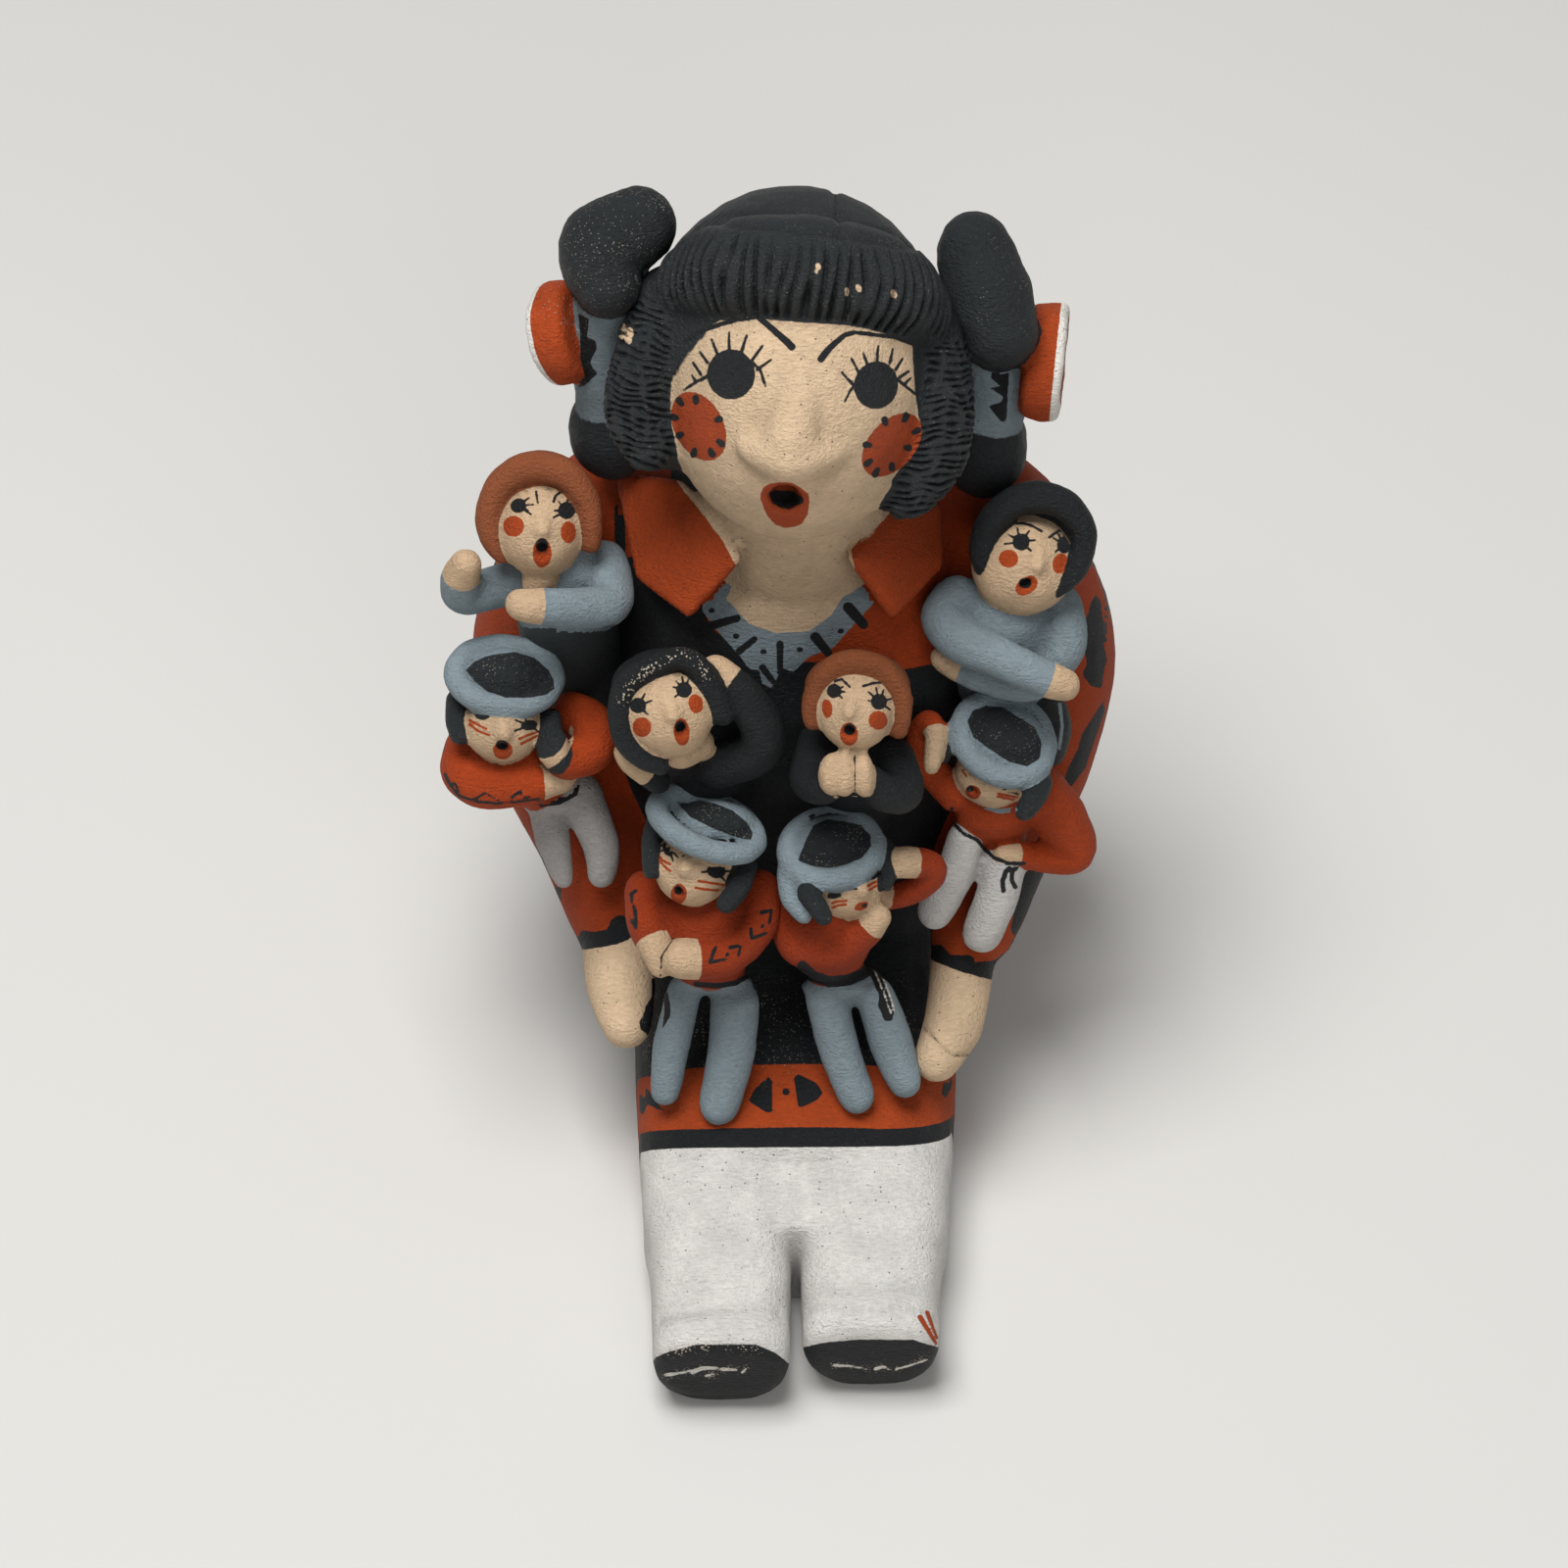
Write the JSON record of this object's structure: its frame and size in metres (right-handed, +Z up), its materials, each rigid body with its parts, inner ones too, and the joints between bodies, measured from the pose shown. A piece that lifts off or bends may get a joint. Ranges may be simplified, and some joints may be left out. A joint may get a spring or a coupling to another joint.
{
  "type": "storyteller figure",
  "caption": "Seated storyteller figure of painted fired clay, head tilted back to sing, with small children held on its arms, chest and lap.",
  "frame": {"origin": "on the ground, under the middle of the figure's outline", "axes": "+Z up, the figure faces -Y and its left hand is on the +X side"},
  "size_m": [0.1446, 0.184, 0.2247],
  "materials": {
    "painted_clay": "matte"
  },
  "bodies": {
    "root": {"storyteller": "painted_clay"}
  },
  "joints": []
}
